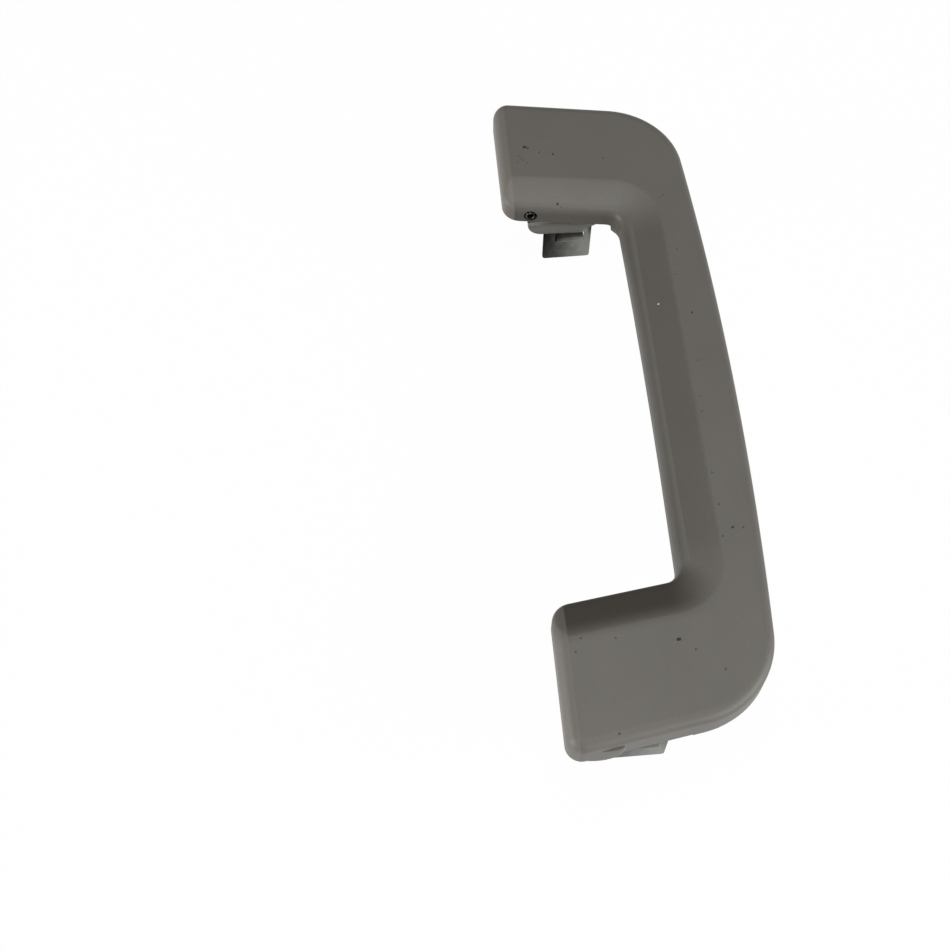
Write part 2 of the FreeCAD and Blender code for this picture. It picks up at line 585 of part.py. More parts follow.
def locking_wedge():
    head = box((BRACKET_X - PRONG_OUT, BRACKET_X + PRONG_OUT), (-WEDGE_HEAD_HALF_Y, WEDGE_HEAD_HALF_Y),
               (WEDGE_HEAD_Z, WEDGE_HEAD_Z + WEDGE_HEAD_THICKNESS))
    for side in (-1, 1):
        prong = box((BRACKET_X + side * PRONG_OUT, BRACKET_X + side * (PRONG_OUT - WEDGE_PRONG)),
                    (-WEDGE_PRONG_HALF_Y, WEDGE_PRONG_HALF_Y), (WEDGE_TIP_Z, WEDGE_HEAD_Z))
        tip = [e for e in prong.Edges
               if e.BoundBox.YLength > WEDGE_PRONG_HALF_Y and e.BoundBox.ZMax < WEDGE_TIP_Z + FIT_GAP]
        head = head.fuse(prong.makeChamfer(WEDGE_PRONG / 3, tip))
    pull = box((BRACKET_X - WEDGE_GRIP_HALF_X, BRACKET_X + WEDGE_GRIP_HALF_X),
               (-WEDGE_GRIP_HALF_Y, WEDGE_GRIP_HALF_Y), (BRACKET_TOP_Z, BRACKET_TOP_Z + WEDGE_GRIP_HEIGHT))
    return head.fuse(pull).removeSplitter()


def stop_buffer():
    """A rubber button on a stem, pressed into the bracket."""
    seat = Vector(BRACKET_X, BUFFER_Y, BRACKET_TOP_Z)
    button = Part.makeCone(BUFFER_RADIUS, BUFFER_TIP_RADIUS, BUFFER_HEIGHT, seat, Z_AXIS)
    stem = upright(BUFFER_STEM_RADIUS, BRACKET_TOP_Z - BUFFER_STEM_LENGTH, BRACKET_TOP_Z, BRACKET_X, BUFFER_Y)
    return button.fuse(stem)


# Spring group at the -X end, damper group at the +X end

def spring_sleeve():
    sleeve = rod(-BRACKET_X - SLEEVE_HALF, -BRACKET_X + SLEEVE_HALF, SLEEVE_RADIUS)
    return sleeve.cut(rod(-BRACKET_X - FORK_HALF, -BRACKET_X + FORK_HALF, PIN_RADIUS + RUNNING_GAP))


def spring_path():
    """Points and outward directions along the wire, in a frame whose Z is the hinge line."""
    start = BRACKET_LEG_ANGLE + 90
    sweep = 90 - start + 360 * SPRING_TURNS
    count = round(sweep / SPRING_STEP)
    path = []
    for i in range(count + 1):
        angle = math.radians(start + sweep * i / count)
        outward = Vector(math.cos(angle), math.sin(angle), 0)
        height = Vector(0, 0, SPRING_PITCH * sweep / 360 * i / count)
        path.append((outward * SPRING_MEAN_RADIUS + height, outward))
    first, last = path[0], path[-1]
    path.insert(0, (first[0] - Z_AXIS.cross(first[1]) * BRACKET_LEG, first[1]))
    path.append((last[0] + Z_AXIS.cross(last[1]) * HANDLE_LEG, last[1]))
    return path


def return_spring():
    """A torsion spring: coil on the sleeve, one leg to the handle, one down to the bracket."""
    rings = []
    for point, outward in spring_path():
        ring = []
        for i in range(WIRE_SIDES + 1):
            angle = 2 * math.pi * i / WIRE_SIDES
            ring.append(point + (outward * math.cos(angle) + Z_AXIS * math.sin(angle)) * WIRE_RADIUS)
        rings.append(Part.makePolygon(ring))
    spring = Part.makeLoft(rings, True, True)
    length = spring.BoundBox.ZLength
    return onto_x(spring, -BRACKET_X - length / 2, HINGE_Y, HINGE_Z)


def damper_housing():
    """A cup with a key that sits on the bracket between the lugs."""
    low = BRACKET_X - DAMPER_HALF
    high = BRACKET_X + DAMPER_HALF - DAMPER_CAP_THICKNESS
    cup = rod(low, high, DAMPER_RADIUS)
    key = box((low, high), (HINGE_Y + DAMPER_KEY_Y[0], HINGE_Y + DAMPER_KEY_Y[1]),
              (BRACKET_TOP_Z, HINGE_Z))
    cup = cup.fuse(key)
    cup = cup.cut(rod(low + DAMPER_CAP_THICKNESS, high + CLEAR, DAMPER_BORE_RADIUS))
    return cup.cut(rod(low - CLEAR, high + CLEAR, ROTOR_NECK_RADIUS + RUNNING_GAP)).removeSplitter()


def damper_cap():
    low = BRACKET_X + DAMPER_HALF - DAMPER_CAP_THICKNESS
    cap = rod(low, low + DAMPER_CAP_THICKNESS, DAMPER_RADIUS)
    return cap.cut(rod(low - CLEAR, low + DAMPER_CAP_THICKNESS + CLEAR, ROTOR_NECK_RADIUS + RUNNING_GAP))


def damper_rotor():
    """Drum on the pin that shears the grease film in the housing."""
    low = BRACKET_X - DAMPER_HALF + DAMPER_CAP_THICKNESS + FIT_GAP
    high = BRACKET_X + DAMPER_HALF - DAMPER_CAP_THICKNESS - FIT_GAP
    drum = rod(low, high, ROTOR_RADIUS)
    neck = rod(BRACKET_X - DAMPER_HALF - FIT_GAP, BRACKET_X + DAMPER_HALF + FIT_GAP, ROTOR_NECK_RADIUS)
    groove = rod(SEAL_X - SEAL_WIDTH / 2, SEAL_X + SEAL_WIDTH / 2, ROTOR_RADIUS + CLEAR)
    groove = groove.cut(rod(SEAL_X - CLEAR, SEAL_X + CLEAR, ROTOR_RADIUS - SEAL_DEPTH))
    bore = rod(BRACKET_X - FORK_HALF, BRACKET_X + FORK_HALF, PIN_RADIUS)
    return drum.fuse(neck).cut(groove).cut(bore)


def damper_seal():
    """A square ring in the rotor's groove."""
    half = SEAL_WIDTH / 2 - SLIP_GAP
    ring = rod(SEAL_X - half, SEAL_X + half, ROTOR_RADIUS + SEAL_STAND_OUT)
    return ring.cut(rod(SEAL_X - CLEAR, SEAL_X + CLEAR, ROTOR_RADIUS - SEAL_DEPTH + SLIP_GAP))


def all_pieces():
    """Every node by name."""
    pieces = {
        "grip_front_shell": grip_front_shell(),
        "grip_rear_shell": grip_rear_shell(),
        "spring_sleeve": spring_sleeve(),
        "return_spring": return_spring(),
        "damper_housing": damper_housing(),
        "damper_rotor": damper_rotor(),
        "damper_cap": damper_cap(),
        "damper_seal": damper_seal(),
    }
    for number, x in enumerate(SCREW_XS, 1):
        pieces["shell_screw_" + str(number)] = shell_screw(x)
    both_ends = {
        "hinge_pin": hinge_pin(),
        "bracket": bracket(),
        "roof_clip": roof_clip(),
        "locking_wedge": locking_wedge(),
        "stop_buffer": stop_buffer(),
    }
    for name, shape in both_ends.items():
        pieces["damper_end_" + name] = shape
        pieces["spring_end_" + name] = mirrored(shape)
    return pieces


os.makedirs("parts", exist_ok=True)
for name, shape in all_pieces().items():
    if not shape.isValid():
        print("not valid:", name)
    print(name, len(shape.Solids), "solid", round(shape.Volume), "mm3")
    shape.exportStep("parts/" + name + ".step")
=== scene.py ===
# %% [markdown]
# # A folding roof grab handle
#
# The handle hangs above a car door. A hollow moulded C turns on two steel pins, and each pin sits in
# a small bracket that a spring clip holds in the roof. The frame below is the measured model: it fixes
# every size, and Blender adds the surfaces. Lengths in this lesson are millimetres until a mesh is made,
# because that is how a moulder would give them. Only the places of the lamps are in metres.

# %% Load the measured frame
import bmesh
import bpy
import math
from mathutils import Matrix, Vector
from mathutils.bvhtree import BVHTree


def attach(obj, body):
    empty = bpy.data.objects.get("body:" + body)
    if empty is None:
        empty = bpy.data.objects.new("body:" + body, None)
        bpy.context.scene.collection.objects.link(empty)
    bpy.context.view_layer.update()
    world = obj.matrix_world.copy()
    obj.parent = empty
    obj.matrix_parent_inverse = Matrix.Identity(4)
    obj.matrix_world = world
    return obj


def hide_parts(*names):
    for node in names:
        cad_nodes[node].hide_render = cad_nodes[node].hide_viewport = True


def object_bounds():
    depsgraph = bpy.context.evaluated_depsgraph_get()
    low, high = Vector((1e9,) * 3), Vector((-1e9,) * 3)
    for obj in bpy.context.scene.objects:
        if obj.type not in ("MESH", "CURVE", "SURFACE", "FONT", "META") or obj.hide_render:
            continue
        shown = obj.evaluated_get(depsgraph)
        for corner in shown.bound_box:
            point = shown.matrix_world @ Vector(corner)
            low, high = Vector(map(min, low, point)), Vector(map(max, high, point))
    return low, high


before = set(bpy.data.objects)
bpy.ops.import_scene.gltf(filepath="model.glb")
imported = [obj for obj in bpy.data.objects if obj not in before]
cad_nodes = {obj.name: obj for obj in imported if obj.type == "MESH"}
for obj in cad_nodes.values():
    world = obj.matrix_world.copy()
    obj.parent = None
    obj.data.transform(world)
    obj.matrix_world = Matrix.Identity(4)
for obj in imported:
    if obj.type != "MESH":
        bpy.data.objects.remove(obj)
cad_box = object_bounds()
MM = 0.001

# %% [markdown]
# ## The camera
#
# A photograph is matched by its perspective first. Three directions describe how the camera was held:
# what is to its right, what is below it, and, from those two, where it looks. The lens is given on a
# 36 mm sensor.

# %% Camera
CAMERA_AT = Vector((238.4, -57.3, 408.5)) * MM
CAMERA_RIGHT = Vector((0.0815, 0.9967, -0.0076))
CAMERA_DOWN = Vector((0.8745, -0.0751, -0.4792))
LENS_MM, SENSOR_MM, NEAREST_SEEN = 53.14, 36.0, 10.0

right = CAMERA_RIGHT.normalized()
backward = right.cross(-CAMERA_DOWN).normalized()
upward = backward.cross(right)
camera_data = bpy.data.cameras.new("camera")
camera_data.sensor_width = SENSOR_MM
camera_data.lens = LENS_MM
camera_data.clip_start = NEAREST_SEEN * MM
camera = bpy.data.objects.new("camera", camera_data)
camera.matrix_world = Matrix((right, upward, backward)).transposed().to_4x4()
camera.location = CAMERA_AT
bpy.context.scene.collection.objects.link(camera)
bpy.context.scene.camera = camera
print("camera looks along", [round(a, 3) for a in -backward])

# %% [markdown]
# ## Meshes from outlines
#
# The handle is one closed outline that changes a little with depth: the face is rounded at its outer
# edge, and a wide bevel runs round the finger opening. So the mesh is a loft: the same outline is drawn
# at many depths, always with the same number of points, and the rings are joined by quads. Curved
# corners get many points and straight sides few, which keeps the highlights smooth.

# %% Outline sizes, in millimetres
HALF_LENGTH, END_WIDTH, END_TAPER = 122.1, 48.3, 9.4
HINGE_SIDE_Y, GRIP_OUTER_Y = -24.6, 42.8            # Y runs from the hinge to the grip
GRIP_BOW_RADIUS, SHOULDER_RADIUS, OUTER_CORNER_RADIUS = 1300.0, 27.7, 4.8
OPENING_HALF, OPENING_TAPER = HALF_LENGTH - END_WIDTH, 8.0
GRIP_INNER_Y, INNER_BOW_RADIUS = 15.6, 2850.0
OPENING_CORNER_RADIUS, INNER_CORNER_RADIUS = 5.0, 6.5
BOW_SHARE = 0.7                      # how much of each long side the bow reaches
HINGE_Y, HINGE_Z = -15.2, 21.0
FACE_Z, RIM_DEPTH, SHELL_WALL = 28.0, 9.8, 2.0
RIM_Z = FACE_Z - RIM_DEPTH
BEVEL_WIDTH, BEVEL_DEPTH, BEVEL_ROUNDNESS = 10.8, 3.0, 1.22
FLANK_LEAN_GRIP, FLANK_LEAN_END = 3.2, 1.3
EDGE_ROUND_DEPTH, EDGE_ROUND_WIDTH = 2.6, 3.6
HINGE_ROUND_DEPTH, HINGE_ROUND_WIDTH = 4.6, 4.4
LEAST_RADIUS = 0.8
FLANK_ROUND_SHARE = 0.6              # how far down the flank its lean has gone
FOOT_POINTS, SHOULDER_POINTS, CORNER_POINTS, GRIP_POINTS, DISH_POINTS = 10, 24, 14, 36, 28
STRAIGHT_POINTS = 6
print("sharp outline before rounding", 2 * HALF_LENGTH, "by", round(GRIP_OUTER_Y - HINGE_SIDE_Y, 1), "mm")


# %% Corners of the outline
def crossing(p, angle_p, q, angle_q):
    """Where the line through p at one angle meets the line through q at another."""
    px, py = math.cos(angle_p), math.sin(angle_p)
    qx, qy = math.cos(angle_q), math.sin(angle_q)
    t = ((q[0] - p[0]) * qy - (q[1] - p[1]) * qx) / (px * qy - py * qx)
    return (p[0] + t * px, p[1] + t * py)


def handle_corners(outer, hinge, inner_end, inner_grip):
    """(x, y, radius, points) for each corner of the C, with each side moved in by its own amount."""
    lean, mouth = math.radians(END_TAPER), math.radians(OPENING_TAPER)
    bow = math.asin(BOW_SHARE * HALF_LENGTH / GRIP_BOW_RADIUS)
    dish = math.asin(BOW_SHARE * OPENING_HALF / INNER_BOW_RADIUS)
    rise = GRIP_BOW_RADIUS * (1 / math.cos(bow) - 1)
    dip = INNER_BOW_RADIUS * (1 / math.cos(dish) - 1)
    end_point = (HALF_LENGTH - outer / math.cos(lean), HINGE_SIDE_Y)
    mouth_point = (OPENING_HALF + inner_end / math.cos(mouth), HINGE_Y)
    apex = (0.0, GRIP_OUTER_Y + rise - outer / math.cos(bow))
    valley = (0.0, GRIP_INNER_Y + dip + inner_grip / math.cos(dish))
    base = (0.0, HINGE_SIDE_Y + hinge)
    end_angle, mouth_angle = math.pi / 2 + lean, math.pi / 2 + mouth
    foot_out = crossing(end_point, end_angle, base, 0.0)
    shoulder = crossing(end_point, end_angle, apex, -bow)
    foot_in = crossing(mouth_point, mouth_angle, base, 0.0)
    corner_in = crossing(mouth_point, mouth_angle, valley, -dish)
    outside = [
        (*foot_out, max(OUTER_CORNER_RADIUS - (outer + hinge) / 2, LEAST_RADIUS), FOOT_POINTS),
        (*shoulder, SHOULDER_RADIUS - outer, SHOULDER_POINTS),
    ]
    opening = [
        (*corner_in, OPENING_CORNER_RADIUS + (inner_end + inner_grip) / 2, CORNER_POINTS),
        (*foot_in, max(INNER_CORNER_RADIUS - (inner_end + hinge) / 2, LEAST_RADIUS), FOOT_POINTS),
    ]
    corners = outside + [(*apex, GRIP_BOW_RADIUS - outer, GRIP_POINTS)]
    corners += [(-x, y, r, n) for x, y, r, n in reversed(outside)]
    corners += [(-x, y, r, n) for x, y, r, n in reversed(opening)]
    corners += [(*valley, INNER_BOW_RADIUS + inner_grip, DISH_POINTS)] + opening
    return corners


print(len(handle_corners(0, 0, 0, 0)), "corners")


# %% A ring with rounded corners
def ring_through(corners, z):
    """Points of a closed outline with rounded corners."""
    arcs = []
    for i, (x, y, radius, count) in enumerate(corners):
        here = Vector((x, y))
        back = (Vector(corners[i - 1][:2]) - here).normalized()
        ahead = (Vector(corners[(i + 1) % len(corners)][:2]) - here).normalized()
        half = back.angle(ahead) / 2
        centre = here + (back + ahead).normalized() * (radius / math.sin(half))
        start = here + back * (radius / math.tan(half)) - centre
        sweep = start.angle_signed(here + ahead * (radius / math.tan(half)) - centre)
        arcs.append([centre + Matrix.Rotation(-sweep * k / count, 2) @ start for k in range(count + 1)])
    points = []
    for i, arc in enumerate(arcs):
        points += arc
        following = arcs[(i + 1) % len(arcs)][0]
        for k in range(1, STRAIGHT_POINTS):
            points.append(arc[-1].lerp(following, k / STRAIGHT_POINTS))
    return [Vector((p.x, p.y, z)) for p in points]


print(len(ring_through(handle_corners(0, 0, 0, 0), 0.0)), "points in each ring")

# %% [markdown]
# ## How the section changes with depth
#
# Two formulas shape the moulding. The outer edges are quarter ellipses. The bevel round the opening
# falls away softly from the face, then ends in a crisp fold where the steep flank begins.

# %% Section formulas
def ellipse_inset(depth, full_depth, width):
    """How far a rounded edge stands back at this depth below the face."""
    if depth >= full_depth:
        return 0.0
    share = 1 - depth / full_depth
    return width * (1 - math.sqrt(1 - share * share))


def bevel_inset(depth, lean):
    """How far the bevel, or the leaning flank below it, stands back."""
    if depth <= BEVEL_DEPTH:
        return lean + BEVEL_WIDTH * (1 - (depth / BEVEL_DEPTH) ** (1 / BEVEL_ROUNDNESS))
    return ellipse_inset(depth - BEVEL_DEPTH, (RIM_DEPTH - BEVEL_DEPTH) * FLANK_ROUND_SHARE, lean)


def handle_ring(depth, wall, z, extra=0.0):
    """The outline of the handle, or of its cavity, at one depth below the face."""
    inset = wall + extra
    return ring_through(handle_corners(
        ellipse_inset(depth, EDGE_ROUND_DEPTH, EDGE_ROUND_WIDTH) + inset,
        ellipse_inset(depth, HINGE_ROUND_DEPTH, HINGE_ROUND_WIDTH) + inset,
        bevel_inset(depth, FLANK_LEAN_END) + inset,
        bevel_inset(depth, FLANK_LEAN_GRIP) + inset), z)


print("the bevel and flank take", bevel_inset(0.0, FLANK_LEAN_GRIP), "mm of the grip's face")

# %% The loft
FACE_RING_INSET = 0.35               # one more ring inside the edge keeps the flat face flat
LEAST_STEP = 0.1


def mesh_object(name, points, faces):
    """A new object from points in millimetres."""
    mesh = bpy.data.meshes.new(name)
    mesh.from_pydata([p * MM for p in points], [], faces)
    made = bpy.data.objects.new(name, mesh)
    bpy.context.scene.collection.objects.link(made)
    tidy = bmesh.new()
    tidy.from_mesh(mesh)
    bmesh.ops.recalc_face_normals(tidy, faces=tidy.faces)
    tidy.to_mesh(mesh)
    tidy.free()
    return made


def loft(name, rings):
    """A closed solid through rings of equal point counts, with flat ends."""
    count = len(rings[0])
    points = [p for ring in rings for p in ring]
    faces = []
    for r in range(len(rings) - 1):
        for k in range(count):
            a, b = r * count + k, r * count + (k + 1) % count
            faces.append((a, b, b + count, a + count))
    faces.append(tuple(reversed(range(count))))
    faces.append(tuple(range(len(points) - count, len(points))))
    return mesh_object(name, points, faces)


def handle_body(name, wall, bottom_z, steps):
    """The rounded C from its face down, or its cavity when a wall is given."""
    depths = [BEVEL_DEPTH * (i / steps) ** 2 for i in range(steps + 1)]
    depths += [BEVEL_DEPTH + (RIM_DEPTH - BEVEL_DEPTH) * i / steps for i in range(1, steps)]
    rings = [handle_ring(RIM_DEPTH, wall, bottom_z)]
    top_z = FACE_Z - wall
    rings += [handle_ring(d, wall, top_z - d) for d in reversed(depths) if top_z - d > bottom_z + LEAST_STEP]
    rings.append(handle_ring(0.0, wall, top_z, extra=FACE_RING_INSET))
    return loft(name, rings)


front = handle_body("handle_front_shell", 0.0, RIM_Z, steps=16)
print(len(front.data.polygons), "faces in the plain shell")

# %% [markdown]
# ## Hollowing the moulding
#
# A real shell is never solid: it would cool unevenly and sink. It is a 2 mm wall with ribs, with bosses
# for the hinge pins and the screws. Booleans suit this: the cavity is cut out, then the inner
# features, clipped to the shape of the moulding, are joined on.

# %% Boolean helper and simple solids
def combined(base, operation, *others):
    """Joins to, cuts from or crosses base with the other solids, which are used up."""
    for other in others:
        step = base.modifiers.new("step", "BOOLEAN")
        step.operation = operation
        step.solver = "EXACT"
        step.object = other
        evaluated = base.evaluated_get(bpy.context.evaluated_depsgraph_get())
        mesh = bpy.data.meshes.new_from_object(evaluated)
        base.modifiers.clear()
        base.data = mesh
        bpy.data.objects.remove(other)
    return base


def block(x, y, z):
    """A box from three (low, high) pairs."""
    points = [Vector((a, b, c)) for c in z for b in y for a in x]
    faces = [(0, 2, 3, 1), (4, 5, 7, 6), (0, 1, 5, 4), (2, 6, 7, 3), (0, 4, 6, 2), (1, 3, 7, 5)]
    return mesh_object("block", points, faces)


def turned(profile, centre, axis="X", count=48):
    """A solid of revolution from (position along the axis, radius) pairs."""
    rings = []
    for along, radius in profile:
        ring = []
        for k in range(count):
            angle = 2 * math.pi * k / count
            u, v = radius * math.cos(angle), radius * math.sin(angle)
            offset = {"X": (along, u, v), "Z": (u, v, along)}[axis]
            ring.append(Vector(centre) + Vector(offset))
        rings.append(ring)
    return loft("turned", rings)


def rod(x_from, x_to, radius):
    """A cylinder on the hinge line."""
    return turned([(min(x_from, x_to), radius), (max(x_from, x_to), radius)], (0, HINGE_Y, HINGE_Z))


# %% [markdown]
# ## Ribs and bosses
#
# Each pin runs in two bosses with a web over it, each shell screw bites into a boss under the grip, and
# cross ribs keep the walls from squeezing in. The buffers press on a rib at either end. All of them are
# plain blocks and turned solids, clipped once to a slightly smaller copy of the moulding, so that none
# pokes out through its skin.

# %% Cavity, ribs and bosses
CAVITY_BELOW, CLIP_BELOW = 1.0, 3.0   # how far the cutting solids reach below the rim
PIN_INNER_X = OPENING_HALF + 0.2
BOSS_INNER_X, BOSS_OUTER_X, BOSS_RADIUS = 85.0, 109.0, 3.2
BUFFER_RIB_X, BUFFER_RIB_Y, BUFFER_RIB_Z, RIB_HALF = (88.8, 105.2), 8.2, 15.8, 0.8
SCREW_XS, SCREW_Y, SCREW_BOSS_RADIUS = (-58.0, -21.0, 21.0, 58.0), 31.5, 3.0
RIB_XS, RIB_Y, RIB_Z = (-104.8, -40.0, 0.0, 40.0, 104.8), 16.2, 20.3
HALF_WALL = SHELL_WALL / 2            # inner features end halfway into the wall, so that they join it
IN_WALL = FACE_Z - HALF_WALL


def span(side, low, high):
    """A pair along X at either end of the handle."""
    return (low, high) if side > 0 else (-high, -low)


front = combined(front, "DIFFERENCE", handle_body("cavity", SHELL_WALL, RIM_Z - CAVITY_BELOW, steps=10))
features = []
for side in (-1, 1):
    web_y = (HINGE_Y - RIB_HALF, HINGE_Y + RIB_HALF)
    for low, high in ((PIN_INNER_X, BOSS_INNER_X), (BOSS_OUTER_X, HALF_LENGTH)):
        features.append(rod(side * low, side * high, BOSS_RADIUS))
        features.append(block(span(side, low, high), web_y, (HINGE_Z, IN_WALL)))
    features.append(block(span(side, *BUFFER_RIB_X),
                          (BUFFER_RIB_Y - RIB_HALF, BUFFER_RIB_Y + RIB_HALF), (BUFFER_RIB_Z, IN_WALL)))
for x in RIB_XS:
    features.append(block((x - RIB_HALF, x + RIB_HALF), (RIB_Y, GRIP_OUTER_Y), (RIB_Z, IN_WALL)))
for x in SCREW_XS:
    features.append(turned([(RIM_Z, SCREW_BOSS_RADIUS), (IN_WALL, SCREW_BOSS_RADIUS)], (x, SCREW_Y, 0), axis="Z"))
inside = combined(features[0], "UNION", *features[1:])
inside = combined(inside, "INTERSECT", handle_body("clip_to", HALF_WALL, RIM_Z - CLIP_BELOW, steps=8))
front = combined(front, "UNION", inside)
print(len(front.data.polygons), "faces with ribs and bosses")

# %% [markdown]
# ## Knuckles
#
# The corners by the hinge line swell into round knuckles, so that the handle can turn without its corner
# striking the roof. Each is a turned solid cut off below the face, which is simpler than making the
# outline itself swell. The pin is pressed in through a hole, and its end sits in a shallow sunk ring.

# %% Knuckles, pin holes and the sunk ring
PIN_OUTER_X, PIN_RADIUS = 116.0, 1.75
RING_RADIUS, RING_DEPTH = 2.35, 1.2
KNUCKLE_RADIUS, KNUCKLE_EDGE, KNUCKLE_SET_IN = 8.6, 3.4, 1.6
KNUCKLE_STEPS, KNUCKLE_SIDES = 8, 96
BEYOND, RING_OVERRUN = 20.0, 5.0      # how far the cutting solids reach past what they cut
for side in (-1, 1):
    low, high = BOSS_OUTER_X, HALF_LENGTH - KNUCKLE_SET_IN
    profile = [(low, KNUCKLE_RADIUS)]
    for k in range(KNUCKLE_STEPS + 1):
        angle = math.pi / 2 * k / KNUCKLE_STEPS
        profile.append((high - KNUCKLE_EDGE + KNUCKLE_EDGE * math.sin(angle),
                        KNUCKLE_RADIUS - KNUCKLE_EDGE + KNUCKLE_EDGE * math.cos(angle)))
    profile = sorted((side * along, radius) for along, radius in profile)
    knuckle = turned(profile, (0, HINGE_Y, HINGE_Z), count=KNUCKLE_SIDES)
    under_face = block((-HALF_LENGTH - BEYOND, HALF_LENGTH + BEYOND), (HINGE_Y - BEYOND, HINGE_Y + BEYOND),
                       (HINGE_Z - BEYOND, FACE_Z - HINGE_ROUND_DEPTH))
    front = combined(front, "UNION", combined(knuckle, "INTERSECT", under_face))
    front = combined(front, "DIFFERENCE", rod(side * PIN_INNER_X, side * PIN_OUTER_X, PIN_RADIUS),
                     rod(side * (PIN_INNER_X - RING_OVERRUN), side * (PIN_INNER_X + RING_DEPTH), RING_RADIUS))
front.name = "handle_front_shell"


def shade(piece, crease_degrees):
    """Smooth shading, except across folds sharper than the angle."""
    piece.data.shade_smooth()
    piece.data.set_sharp_from_angle(angle=math.radians(crease_degrees))


SHELL_CREASE = 32
shade(front, SHELL_CREASE)
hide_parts("grip_front_shell")
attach(front, "handle")
print(len(front.data.polygons), "faces in the front shell")

# %% [markdown]
# ## The shell screws
#
# Four thread-forming screws hold the two shells. They lie inside, but a handle that is taken apart shows
# them, so they get real shapes. A pan head is a turned profile with a rounded edge, and the cross recess
# is two crossed blades cut from it. The thread is a loft too: each ring's radius rises and falls once
# round, and each next ring is turned a quarter further, so the crests join as one helix.

# %% A screw head with a cross recess
SCREW_SEAT_Z, SCREW_LENGTH = RIM_Z - 3.0, 9.0
HEAD_RADIUS, HEAD_HEIGHT, HEAD_ROUND = 2.2, 1.5, 0.7
RECESS_REACH, RECESS_HALF, RECESS_DEPTH, RECESS_OVERRUN = 1.3, 0.3, 0.9, 0.5
HEAD_STEPS, HEAD_SIDES = 6, 40


def screw_head(x):
    """A pan head with its flat side up, against the seat, and a cross recess below."""
    profile = [(SCREW_SEAT_Z, HEAD_RADIUS)]
    for k in range(HEAD_STEPS + 1):
        angle = math.pi / 2 * k / HEAD_STEPS
        profile.append((SCREW_SEAT_Z - HEAD_HEIGHT + HEAD_ROUND * (1 - math.sin(angle)),
                        HEAD_RADIUS - HEAD_ROUND * (1 - math.cos(angle))))
    head = turned(profile, (x, SCREW_Y, 0), axis="Z", count=HEAD_SIDES)
    low = SCREW_SEAT_Z - HEAD_HEIGHT
    for across in ((RECESS_REACH, RECESS_HALF), (RECESS_HALF, RECESS_REACH)):
        blade = block((x - across[0], x + across[0]), (SCREW_Y - across[1], SCREW_Y + across[1]),
                      (low - RECESS_OVERRUN, low + RECESS_DEPTH))
        head = combined(head, "DIFFERENCE", blade)
    return head


print("heads of", 2 * HEAD_RADIUS, "mm on a seat at z", round(SCREW_SEAT_Z, 1))

# %% The thread, and the four screws
THREAD_PITCH, THREAD_RADIUS, CORE_RADIUS = 1.1, 1.08, 0.8
THREAD_SIDES, RINGS_PER_TURN, SCREW_CREASE = 16, 4, 35


def screw_thread(x):
    """A shank whose radius rises and falls along a helix."""
    rings = []
    levels = int(SCREW_LENGTH / THREAD_PITCH * RINGS_PER_TURN)
    for level in range(levels + 1):
        z = SCREW_SEAT_Z + SCREW_LENGTH * level / levels
        ring = []
        for k in range(THREAD_SIDES):
            turn = (level / RINGS_PER_TURN - k / THREAD_SIDES) % 1.0
            radius = CORE_RADIUS + (THREAD_RADIUS - CORE_RADIUS) * (1 - abs(2 * turn - 1))
            angle = 2 * math.pi * k / THREAD_SIDES
            ring.append(Vector((x + radius * math.cos(angle), SCREW_Y + radius * math.sin(angle), z)))
        rings.append(ring)
    return loft("thread", rings)


screws = []
for number, x in enumerate(SCREW_XS, 1):
    screw = combined(screw_head(x), "UNION", screw_thread(x))
    screw.name = f"cross_recess_screw_{number}"
    shade(screw, SCREW_CREASE)
    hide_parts(f"shell_screw_{number}")
    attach(screw, "handle")
    screws.append(screw)
print(len(screws), "screws,", len(screws[0].data.polygons), "faces each")

# %% [markdown]
# ## Dirt specks
#
# The handle is used, and dark specks of dried dirt lie on its face. Each is a small flat lump with an uneven
# rim. A ray dropped on the shell finds the height and the slope, so a speck lies on the bevel as well as
# on the flat. The places are listed: each row below is a place on the face and a radius.

# %% Places of the specks
SPECKS = (
    (-99.3, -15.0, 0.75), (-98.7, -13.9, 0.45), (-95.3, -17.4, 0.35), (-94.3, -16.7, 0.4), (-93.4, -16.1, 0.3),
    (-92.6, -18.0, 0.3), (-91.9, -14.9, 0.35), (-96.5, -10.1, 0.4), (-95.2, -5.3, 0.45), (-91.8, 12.0, 0.4),
    (-74.9, -5.8, 0.5), (-73.6, -4.6, 0.3), (-73.4, 30.6, 0.35), (-72.6, 29.5, 0.3), (-49.9, 32.0, 0.3),
    (-39.5, 29.7, 0.35), (-23.7, 33.0, 0.45), (8.7, 30.5, 0.3), (14.3, 30.2, 0.35), (-4.9, 32.0, 0.3),
    (36.4, 29.8, 0.35), (47.6, 30.1, 0.4), (55.7, 33.0, 0.45), (56.0, 36.1, 0.4), (58.4, 29.5, 0.4),
    (90.3, 11.3, 0.7), (87.6, -17.0, 0.4), (91.7, -19.0, 0.35), (88.4, -6.9, 0.35), (93.8, 15.7, 0.4),
    (100.5, 23.3, 0.4), (117.0, -9.6, 0.4),
)
DARK_FROM, FLECK = 0.45, (-29.1, 22.8, 0.35)
print(len(SPECKS), "specks and one pale fleck")

# %% One speck laid on the face
SPECK_HEIGHT, SPECK_SIDES, ABOVE_FACE = 0.05, 9, 60.0
UNEVEN_TWICE, UNEVEN_FIVE, SEED_STEP = 0.2, 0.15, 2.3       # shares of the radius, and a turn per seed
SPECK_PROFILE = ((-0.4, 1.0), (0.35, 0.85), (1.0, 0.4))      # (share of the height, share of the radius)
shell_surface = BVHTree.FromObject(front, bpy.context.evaluated_depsgraph_get())


